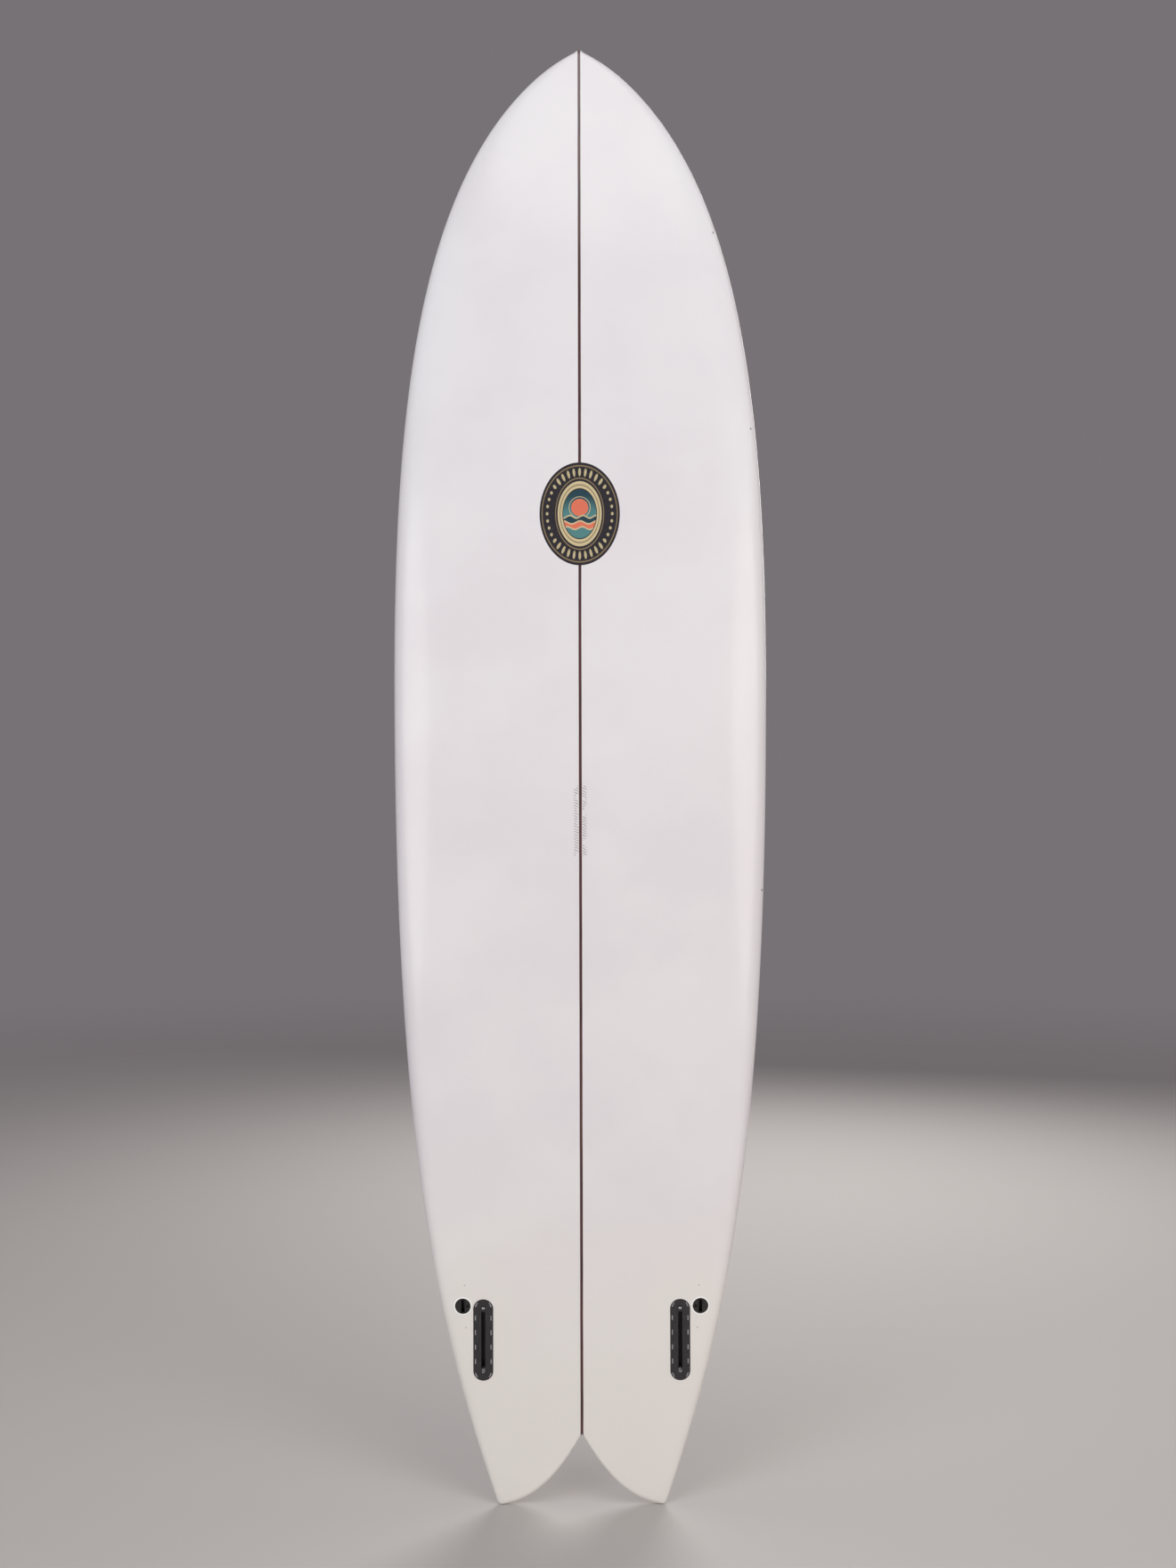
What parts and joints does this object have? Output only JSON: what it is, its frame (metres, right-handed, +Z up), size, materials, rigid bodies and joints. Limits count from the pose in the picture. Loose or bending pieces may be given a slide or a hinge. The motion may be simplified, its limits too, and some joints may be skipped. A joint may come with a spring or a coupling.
{
  "type": "surfboard",
  "caption": "Swallow-tail twin-fin surfboard with a wooden stringer, glassed foam core, long-slot fin boxes, round side plugs and a leash plug.",
  "frame": {"origin": "at the foot of the tail tips, midway across the board and midway through its depth", "axes": "+Z up the board from tail to nose, -Y out of the bottom (the fin side), +Y out of the deck, +X to the right as the bottom is looked at"},
  "size_m": [0.5328, 0.1326, 2.134],
  "materials": {
    "foam": "closed-cell foam, sanded",
    "stringer_wood": "dark wood strip under resin",
    "gloss_laminate": "polished fibreglass and resin",
    "box_plastic": "sanded glass-filled nylon",
    "bed_resin": "set resin, light grey",
    "steel": "stainless steel",
    "white_resin": "white pigmented resin",
    "cup_plastic": "moulded nylon",
    "logo_paper": "printed tissue under resin"
  },
  "bodies": {
    "board": {"foam_half_left": "foam", "foam_half_right": "foam", "stringer": "stringer_wood", "bottom_glass": "gloss_laminate", "deck_glass": "gloss_laminate", "fin_box_left": "box_plastic", "fin_box_resin_bed_left": "bed_resin", "fin_plug_left": "box_plastic", "plug_resin_collar_left": "white_resin", "fin_box_right": "box_plastic", "fin_box_resin_bed_right": "bed_resin", "fin_plug_right": "box_plastic", "plug_resin_collar_right": "white_resin", "leash_plug_cup": "cup_plastic", "leash_pin": "steel", "leash_resin_collar": "white_resin", "logo_laminate": "logo_paper"},
    "fin_box_screw_left": {"fin_box_screw_left": "steel"},
    "fin_box_screw_right": {"fin_box_screw_right": "steel"},
    "plug_screw_left": {"plug_screw_left": "steel"},
    "plug_screw_right": {"plug_screw_right": "steel"}
  },
  "joints": [
    {"name": "fin_box_screw_left_travel", "type": "slide", "parent": "board", "child": "fin_box_screw_left", "axis": [0.0011, -0.901, 0.4338], "range_m": [-0.002, 0.004]},
    {"name": "fin_box_screw_right_travel", "type": "slide", "parent": "board", "child": "fin_box_screw_right", "axis": [-0.0011, -0.901, 0.4338], "range_m": [-0.002, 0.004]},
    {"name": "plug_screw_left_travel", "type": "slide", "parent": "board", "child": "plug_screw_left", "axis": [0.3404, -0.9379, -0.0671], "range_m": [-0.0015, 0.003]},
    {"name": "plug_screw_right_travel", "type": "slide", "parent": "board", "child": "plug_screw_right", "axis": [-0.3404, -0.9379, -0.0671], "range_m": [-0.0015, 0.003]}
  ]
}
